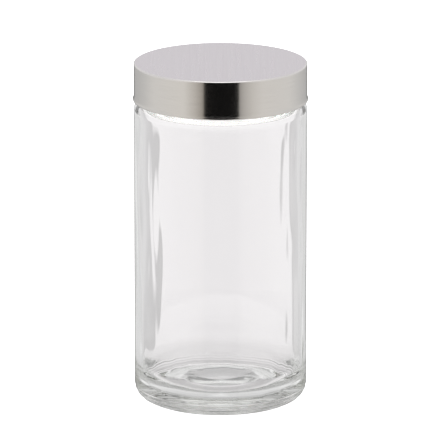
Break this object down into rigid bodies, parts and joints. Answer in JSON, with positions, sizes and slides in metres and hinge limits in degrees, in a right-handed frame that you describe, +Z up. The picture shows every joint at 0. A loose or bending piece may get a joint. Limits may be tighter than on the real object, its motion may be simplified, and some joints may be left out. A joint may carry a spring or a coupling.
{
  "type": "lidded glass canister",
  "caption": "Clear glass storage canister with a rounded heel, and a brushed steel twist lid that seals on a silicone ring and lifts off.",
  "frame": {"origin": "centre of the base, on the surface that the jar stands on", "axes": "+Z up, along the jar's axis from its base to its lid"},
  "size_m": [0.1112, 0.1112, 0.219],
  "materials": {
    "clear_glass": "clear, polished, faint green-grey tint",
    "brushed_steel": "fine brushed, satin",
    "white_plastic": "moulded, satin",
    "silicone": "matte, translucent white"
  },
  "bodies": {
    "jar": {"glass_jar": "clear_glass"},
    "seal": {"lid_gasket": "silicone"},
    "lid": {"lid_shell": "brushed_steel", "lid_liner": "white_plastic"}
  },
  "joints": [
    {"name": "lid_lift", "type": "slide", "parent": "jar", "child": "seal", "axis": [0, 0, 1], "range_m": [0, 0.12]},
    {"name": "lid_turn", "type": "hinge", "parent": "seal", "child": "lid", "pos_m": [0, 0, 0.215], "axis": [0, 0, 1], "range_deg": [-60, 0]}
  ]
}
